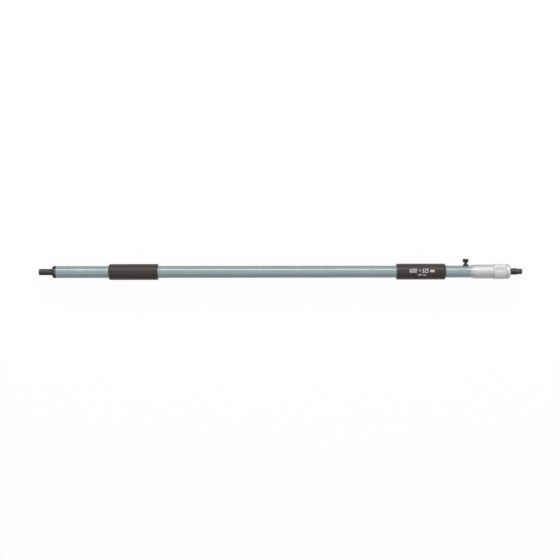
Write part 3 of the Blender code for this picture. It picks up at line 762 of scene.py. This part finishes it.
def make_sleeve_scale():
    """Whole millimetres on one side of the index line, the halves between them on the other."""
    work = bmesh.new()
    wall = plain_wall(SLEEVE_R)
    figures = {"height": 1.7, "narrow": 0.72, "weight": 0.02, "turn": 3.75 / SLEEVE_R}
    add_bar(work, INDEX_START, INDEX_END, SLEEVE_LINE, 0, wall, SCALE_THICKNESS)
    for number in range(TRAVEL + 1):
        numbered = number % 5 == 0
        place = EDGE + number
        reach = SLEEVE_LONG if numbered else SLEEVE_SHORT
        add_arc(work, place, SLEEVE_LINE, reach / SLEEVE_R, wall, SCALE_THICKNESS)
        if number < TRAVEL:
            add_arc(work, place + 0.5, SLEEVE_LINE, -SLEEVE_SHORT / SLEEVE_R, wall, SCALE_THICKNESS)
        if numbered:
            add_text(work, str(number), place=place, radius_at=wall, thickness=SCALE_THICKNESS, **figures)
    piece = new_piece("sleeve_scale", work, ROD)
    finish_piece(piece, "sleeve", [black_ink])


def diamond_depth(angle, place):
    """How far the diamond knurl is pressed in at a point of its grid."""
    column = round(angle / math.tau * SIDES)
    row = round((place - KNURL_START) / KNURL_STEP)
    return KNURL_DEPTH if (column + row) % 2 else 0


def make_thimble():
    outline = [(KNURL_FOOT_R - KNURL_CHAMFER, BODY_STOP, 0), (KNURL_FOOT_R, KNURL_STOP, 0)]
    for row in range(KNURL_ROWS - 1, 0, -1):
        outline.append((KNURL_R, KNURL_START + row * KNURL_STEP, 0))
    outline += [
        (KNURL_FOOT_R, KNURL_START, 0),
        (BARREL_R - GROOVE_DEPTH, BARREL_END + GROOVE_LENGTH, 0.1),
        (BARREL_R - GROOVE_DEPTH, BARREL_END, 0.1),
        (BARREL_R, BARREL_END - GROOVE_DEPTH, 0.12),
        (BARREL_R, BEVEL_END, 0.8),
        (EDGE_R, EDGE, 0.12),
        (THIMBLE_BORE_R, EDGE, 0.05),
        (THIMBLE_BORE_R, HOLLOW_END, 0),
        (THIMBLE_SEAT_R, HOLLOW_END, 0),
        (CAP_BORE_R, RECESS_FLOOR, 0),
        (RECESS_R, RECESS_FLOOR, 0),
        (RECESS_R, BODY_STOP, 0),
    ]
    work = lathe(outline, hollow=True)
    press(work, KNURL_R, diamond_depth)
    piece = new_piece("thimble_knurled", work, ROD)
    finish_piece(piece, "thimble_and_spindle", [chrome], ["thimble"])


def make_thimble_cap():
    outline = [
        (CAP_FACE_R, THIMBLE_END, 0.15),
        (CAP_R, THIMBLE_END - CAP_CHAMFER, 0.2),
        (CAP_R, CAP_START, 0.12),
        (CAP_BOSS_R, CAP_START, 0),
        (CAP_BOSS_R, CAP_BOSS_END, 0),
        (CAP_BORE_R, CAP_BOSS_END, 0),
        (CAP_BORE_R, THIMBLE_END, 0.25),
    ]
    piece = new_piece("thimble_end_cap", lathe(outline, hollow=True), ROD)
    pin_circle_r = (CAP_BORE_R + CAP_FACE_R) / 2
    for side in (-1, 1):
        middle = ROD @ Matrix.Translation((side * pin_circle_r * MM, 0, 0))
        drill(piece, PIN_HOLE_R, THIMBLE_END - PIN_HOLE_DEPTH, THIMBLE_END + BIT_OUT, middle)
    finish_piece(piece, "thimble_and_spindle", [chrome], ["thimble_cap"])


def make_thimble_scale():
    """Fifty lines that start at the bevel's edge, with a figure at every fifth."""
    work = bmesh.new()
    on_bevel = {"radius_at": bevelled_wall, "thickness": SCALE_THICKNESS}
    figures = {"height": 1.8, "narrow": 0.75, "weight": 0.02, "place": THIMBLE_FIGURES_PLACE}
    for number in range(THIMBLE_DIVISIONS):
        numbered = number % 5 == 0
        line_end = THIMBLE_LINES_START + (THIMBLE_LONG if numbered else THIMBLE_SHORT)
        turn = math.tau * number / THIMBLE_DIVISIONS
        add_bar(work, THIMBLE_LINES_START, line_end, THIMBLE_LINE, turn, bevelled_wall, SCALE_THICKNESS)
        if numbered:
            add_text(work, str(number), turn=turn, **figures, **on_bevel)
    piece = new_piece("thimble_scale", work, ROD)
    finish_piece(piece, "thimble_and_spindle", [black_ink])


def tooth_depth(angle, place):
    """How far the straight knurl of the clamp screw's head is pressed in."""
    phase = angle / math.tau * CLAMP_TEETH % 1
    return CLAMP_KNURL_DEPTH * (1 - abs(2 * phase - 1))


def make_clamp():
    bore = CLAMP_STEM_R + STEM_FIT
    outline = [
        (CLAMP_BUSH_TOP_R, CLAMP_BUSH_TOP, 0.12),
        (CLAMP_BUSH_R, CLAMP_BUSH_SHOULDER, 0.15),
        (CLAMP_BUSH_R, CLAMP_BUSH_FOOT, 0),
        (bore, CLAMP_BUSH_FOOT, 0),
        (bore, CLAMP_BUSH_TOP, 0.08),
    ]
    piece = new_piece("clamp_boss", lathe(outline, SMALL_SIDES, hollow=True), CLAMP)
    finish_piece(piece, "rod", [clamp_black], ["clamp_bush"])

    thread_start = CLAMP_STEM_FOOT + CLAMP_STEM_CHAMFER
    outline = [
        (0, CLAMP_HEAD_TOP, 0),
        (CLAMP_HEAD_R - CLAMP_HEAD_CHAMFER, CLAMP_HEAD_TOP, 0.1),
        (CLAMP_HEAD_R, CLAMP_HEAD_TOP - CLAMP_HEAD_CHAMFER, 0),
        (CLAMP_HEAD_R, CLAMP_HEAD_FOOT + CLAMP_HEAD_CONE, 0),
        (CLAMP_STEM_R + CLAMP_HEAD_ROOT, CLAMP_HEAD_FOOT + CLAMP_HEAD_ROOT, 0),
        *thread_rows(CLAMP_STEM_R, CLAMP_HEAD_FOOT, thread_start),
        (CLAMP_STEM_R - CLAMP_STEM_CHAMFER, CLAMP_STEM_FOOT, 0),
        (0, CLAMP_STEM_FOOT, 0),
    ]
    work = lathe(outline)
    cut_thread(work, CLAMP_STEM_R, thread_start, CLAMP_HEAD_FOOT)
    press(work, CLAMP_HEAD_R, tooth_depth)
    piece = new_piece("clamp_thumb_screw", work, CLAMP)
    finish_piece(piece, "clamp", [clamp_black], ["clamp_screw"])


def repaint(node, look):
    """Gives a solid that stays its material."""
    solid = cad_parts[node]
    solid.data.materials.clear()
    solid.data.materials.append(look)


make_tube()
make_grip("grip_anvil_end", "anvil_grip", ANVIL_GRIP_START, GRIP_OUTER_FILLET, GRIP_INNER_FILLET)
make_grip("grip_head_end", "head_grip", HEAD_GRIP_START, GRIP_INNER_FILLET, GRIP_OUTER_FILLET)
make_print()
make_anvil_end()
make_tip("anvil_hard_tip", "anvil_tip", "rod", ANVIL_R, False)
make_tip("spindle_hard_tip", "spindle_tip", "tip", NECK_R, True)
make_spindle()
make_sleeve()
make_sleeve_scale()
make_thimble()
make_thimble_cap()
make_thimble_scale()
make_clamp()
for inner_node in ("anvil_end_bush", "inner_sleeve", "adjusting_nut"):
    repaint(inner_node, steel)
repaint("clamp_plug", brass)

# Camera: square on to the printed side, at a distance that fits the places measured in the photo
CAMERA_DISTANCE = 1.18
VIEW_WIDTH = 0.696
AXIS_ABOVE_CENTRE = 0.0102
RIGHT_OF_CENTRE = 0.0006
TILT = math.radians(0.077)

camera_data = bpy.data.cameras.new("camera")
camera_data.lens = camera_data.sensor_width * CAMERA_DISTANCE / VIEW_WIDTH
camera_data.clip_end = 30
camera = bpy.data.objects.new("camera", camera_data)
bpy.context.scene.collection.objects.link(camera)
look_at = MIDDLE - RIGHT_OF_CENTRE * ALONG - AXIS_ABOVE_CENTRE * UP
camera.matrix_world = (
    Matrix.Translation(look_at + CAMERA_DISTANCE * FRONT)
    @ Matrix((ALONG, UP, FRONT)).transposed().to_4x4()
    @ Matrix.Rotation(-TILT, 4, "Z")
)
bpy.context.scene.camera = camera


def lamp(name, angle_deg, distance, length, width, power):
    """A soft lamp at that angle from the camera's side of the rod, towards the clamp screw."""
    data = bpy.data.lights.new(name, "AREA")
    data.shape = "RECTANGLE"
    data.size = length
    data.size_y = width
    data.energy = power
    made = bpy.data.objects.new(name, data)
    bpy.context.scene.collection.objects.link(made)
    angle = math.radians(angle_deg)
    away = FRONT * math.cos(angle) + UP * math.sin(angle)
    made.location = MIDDLE + away * distance
    made.rotation_euler = (made.location - MIDDLE).to_track_quat("Z", "Y").to_euler()
    made.visible_camera = False


lamp("strip_lamp", angle_deg=45, distance=1.1, length=2.0, width=0.2, power=10.0)
lamp("front_lamp", angle_deg=-6, distance=1.7, length=2.8, width=2.0, power=11.0)


def pale_world():
    """Pale light all round, white at the horizon and greyer overhead."""
    world = bpy.data.worlds.new("pale_world")
    world.use_nodes = True
    bpy.context.scene.world = world
    tree = world.node_tree
    direction = tree.nodes.new("ShaderNodeTexCoord")
    split = tree.nodes.new("ShaderNodeSeparateXYZ")
    fade = tree.nodes.new("ShaderNodeMapRange")
    for name, value in {"From Min": 0.03, "From Max": 0.16, "To Min": 1.0, "To Max": 0.6}.items():
        fade.inputs[name].default_value = value
    light = tree.nodes["Background"]
    light.inputs["Color"].default_value = (1, 1, 1, 1)
    tree.links.new(direction.outputs["Generated"], split.inputs[0])
    tree.links.new(split.outputs["Z"], fade.inputs["Value"])
    tree.links.new(fade.outputs["Result"], light.inputs["Strength"])


def pale_floor():
    """A pale floor that looks white to the camera and in reflections, and still takes the object's shadow."""
    half, grey, glow_share = 4, 0.65, 0.93
    corners = [(-half, -half, 0), (half, -half, 0), (half, half, 0), (-half, half, 0)]
    mesh = bpy.data.meshes.new("floor")
    mesh.from_pydata(corners, [], [(0, 1, 2, 3)])
    floor = bpy.data.objects.new("floor", mesh)
    bpy.context.scene.collection.objects.link(floor)
    look = bpy.data.materials.new("pale_floor")
    look.use_nodes = True
    tree = look.node_tree
    tree.nodes.clear()

    def either(first, second):
        """1 for a ray of the first or the second kind."""
        made = tree.nodes.new("ShaderNodeMath")
        made.operation = "MAXIMUM"
        tree.links.new(first, made.inputs[0])
        tree.links.new(second, made.inputs[1])
        return made.outputs[0]

    def coloured(kind, level):
        """A shader of that kind in that grey."""
        made = tree.nodes.new(kind)
        made.inputs["Color"].default_value = (level, level, level, 1)
        return made

    def mixed(first, second):
        """A mix of two shaders, whose share is still to be set or linked."""
        made = tree.nodes.new("ShaderNodeMixShader")
        tree.links.new(first.outputs[0], made.inputs[1])
        tree.links.new(second.outputs[0], made.inputs[2])
        return made

    path = tree.nodes.new("ShaderNodeLightPath").outputs
    seen = either(either(path["Is Camera Ray"], path["Is Glossy Ray"]), path["Is Transmission Ray"])
    glow = coloured("ShaderNodeEmission", 1)
    glow.inputs["Strength"].default_value = 1.0
    white = mixed(coloured("ShaderNodeBsdfDiffuse", 1), glow)
    white.inputs[0].default_value = glow_share
    both = mixed(coloured("ShaderNodeBsdfDiffuse", grey), white)
    tree.links.new(seen, both.inputs[0])
    made = tree.nodes.new("ShaderNodeOutputMaterial")
    tree.links.new(both.outputs[0], made.inputs["Surface"])
    mesh.materials.append(look)


pale_world()
pale_floor()
bpy.context.scene.view_settings.view_transform = "Standard"
